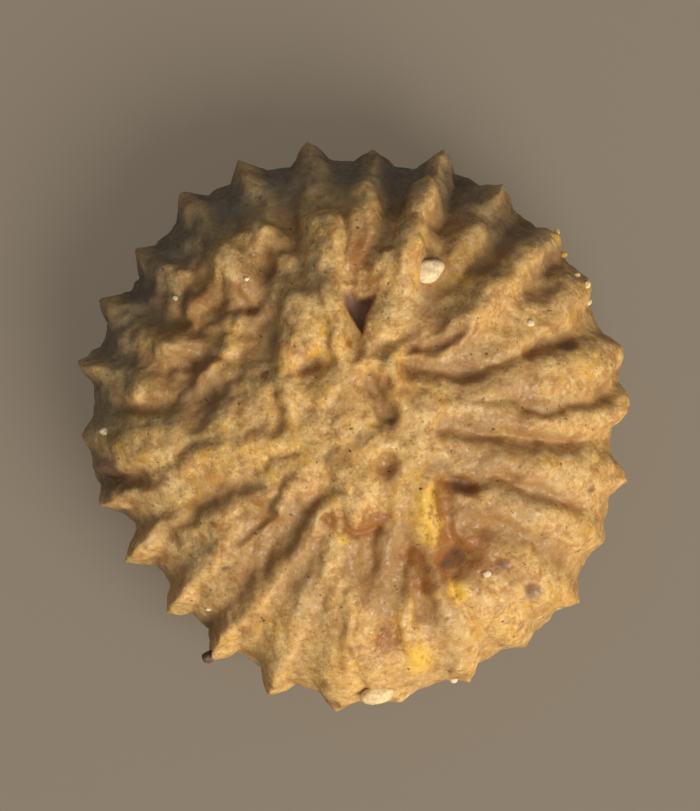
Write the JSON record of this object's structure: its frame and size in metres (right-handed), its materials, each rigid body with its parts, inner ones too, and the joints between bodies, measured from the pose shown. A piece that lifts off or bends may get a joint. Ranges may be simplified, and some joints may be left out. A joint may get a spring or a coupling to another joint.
{
  "type": "cup coral",
  "caption": "Small round solitary cup coral with a domed top of radiating ribs, a toothed rim, a lumpy middle and a flat foot.",
  "frame": {"origin": "under the middle of the coral, on its flat foot", "axes": "+Z up from the foot through the middle of the ribbed top; +X to the right and +Y up in the view from above"},
  "size_m": [0.004, 0.004, 0.0017],
  "materials": {
    "coral_stone": "matt, granular",
    "sand_grain": "satin"
  },
  "bodies": {
    "root": {"coral": "coral_stone"}
  },
  "joints": []
}
